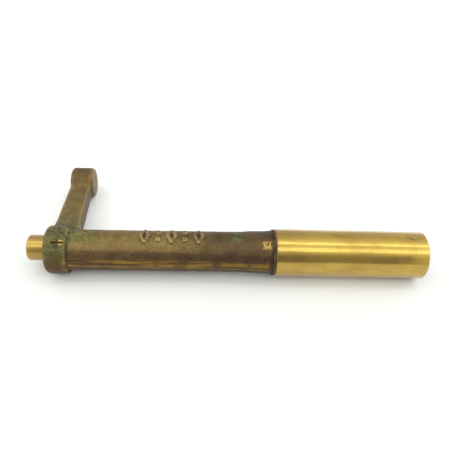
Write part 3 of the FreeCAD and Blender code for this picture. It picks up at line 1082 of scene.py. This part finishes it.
# Brightness of the room's sides, and how far aside a direction turns before it meets them
SIDE_BRIGHTNESS = 1.9
SIDE_START, SIDE_END = 0.42, 0.65

# Long lamps over the wrench, as pairs of angle and watts
TUBES = ((92, 0.85), (67, 0.50), (58, 0.75))
TUBE_DISTANCE = 1.1
TUBE_LENGTH = 1.8
TUBE_WIDTH = 0.032

CAMERA_LENS = 38.77
CAMERA_PLACE = Vector((0.1024, -0.2223, 0.2372))
CAMERA_AIM = Vector((0.1157, 0.0134, 0.0120))
CAMERA_ROLL = math.radians(3.53)


def add_floor():
    """A pale surface that touches the collar, the arm's boss and the grip's outer end, painted darker in
    front than behind as painted shade.
    """
    slope = (GRIP_LOW[2] - CASTING_LOW[2]) / (GRIP_HIGH[0] - COLLAR_WIDTH / 2)
    mesh = bpy.data.meshes.new("floor")
    points = []
    for x, y in ((-1, -1), (1, -1), (1, 1), (-1, 1)):
        x, y = x * FLOOR_SIZE, y * FLOOR_SIZE
        points.append((x, y, CASTING_LOW[2] * MM + slope * (x - COLLAR_WIDTH / 2 * MM)))
    mesh.from_pydata(points, [], [(0, 1, 2, 3)])
    floor = bpy.data.objects.new("floor", mesh)
    bpy.context.scene.collection.objects.link(floor)
    g = Graph("floor")
    pale = g.mix(g.fit(g.axis("Y"), -0.12, 0.06), FLOOR_FRONT_SHADED, FLOOR_BACK)
    mesh.materials.append(g.finish(pale, 0.0, 0.7))


def add_room():
    """A soft studio: dim at eye level in front, with two bright bands overhead and bright sides."""
    world = bpy.data.worlds.new("studio")
    bpy.context.scene.world = world
    world.use_nodes = True
    g = Nodes(world.node_tree)
    direction = g.node("ShaderNodeSeparateXYZ", Vector=g.node("ShaderNodeTexCoord").outputs["Generated"])
    forward = g.calc("MULTIPLY", direction.outputs["Y"], -1.0)
    angle = g.calc("ARCTAN2", direction.outputs["Z"], forward)
    half_turns = g.node("ShaderNodeMapRange", Value=angle, From_Max=math.pi)
    ramp = g.node("ShaderNodeValToRGB", Fac=half_turns.outputs["Result"])
    stops = ramp.color_ramp.elements
    while len(stops) < len(ROOM):
        stops.new(0.5)
    for stop, (degrees, brightness) in zip(stops, ROOM):
        stop.position = degrees / 180
        level = brightness / ROOM_BRIGHTEST
        tint = ROOM_TINT if TINT_START <= degrees <= TINT_END else (1, 1, 1)
        stop.color = rgb(*(level * channel for channel in tint))
    to_side = g.fit(g.calc("ABSOLUTE", direction.outputs["X"]), SIDE_START, SIDE_END)
    level = SIDE_BRIGHTNESS / ROOM_BRIGHTEST
    background = g.tree.nodes["Background"]
    g.feed(background.inputs["Color"], g.mix(to_side, ramp.outputs["Color"], rgb(level, level, level)))
    background.inputs["Strength"].default_value = ROOM_BRIGHTEST


def add_tube(angle, watts):
    """A long lamp along the wrench, at an angle in degrees from the level in front of it."""
    turn = math.radians(angle)
    place = Vector((WRENCH_MIDDLE_X, -TUBE_DISTANCE * math.cos(turn), TUBE_DISTANCE * math.sin(turn)))
    name = f"tube_{angle}"
    data = bpy.data.lights.new(name, "AREA")
    data.shape = "RECTANGLE"
    data.size = TUBE_LENGTH
    data.size_y = TUBE_WIDTH
    data.energy = watts
    lamp = bpy.data.objects.new(name, data)
    lamp.location = place
    lamp.rotation_mode = "QUATERNION"
    lamp.rotation_quaternion = (Vector((WRENCH_MIDDLE_X, 0, 0)) - place).to_track_quat("-Z", "Y")
    bpy.context.scene.collection.objects.link(lamp)


def add_camera():
    """The camera looks down on the wrench from in front, turned a little about its line of sight."""
    data = bpy.data.cameras.new("camera")
    data.lens = CAMERA_LENS
    data.sensor_width = 36.0
    data.clip_start = 0.01
    camera = bpy.data.objects.new("camera", data)
    look = (CAMERA_AIM - CAMERA_PLACE).to_track_quat("-Z", "Y").to_matrix()
    camera.location = CAMERA_PLACE
    camera.rotation_mode = "QUATERNION"
    camera.rotation_quaternion = (look @ Matrix.Rotation(CAMERA_ROLL, 3, "Z")).to_quaternion()
    bpy.context.scene.collection.objects.link(camera)
    bpy.context.scene.camera = camera


add_floor()
add_room()
for tube_angle, tube_watts in TUBES:
    add_tube(tube_angle, tube_watts)
add_camera()
bpy.context.scene.view_settings.view_transform = "Standard"
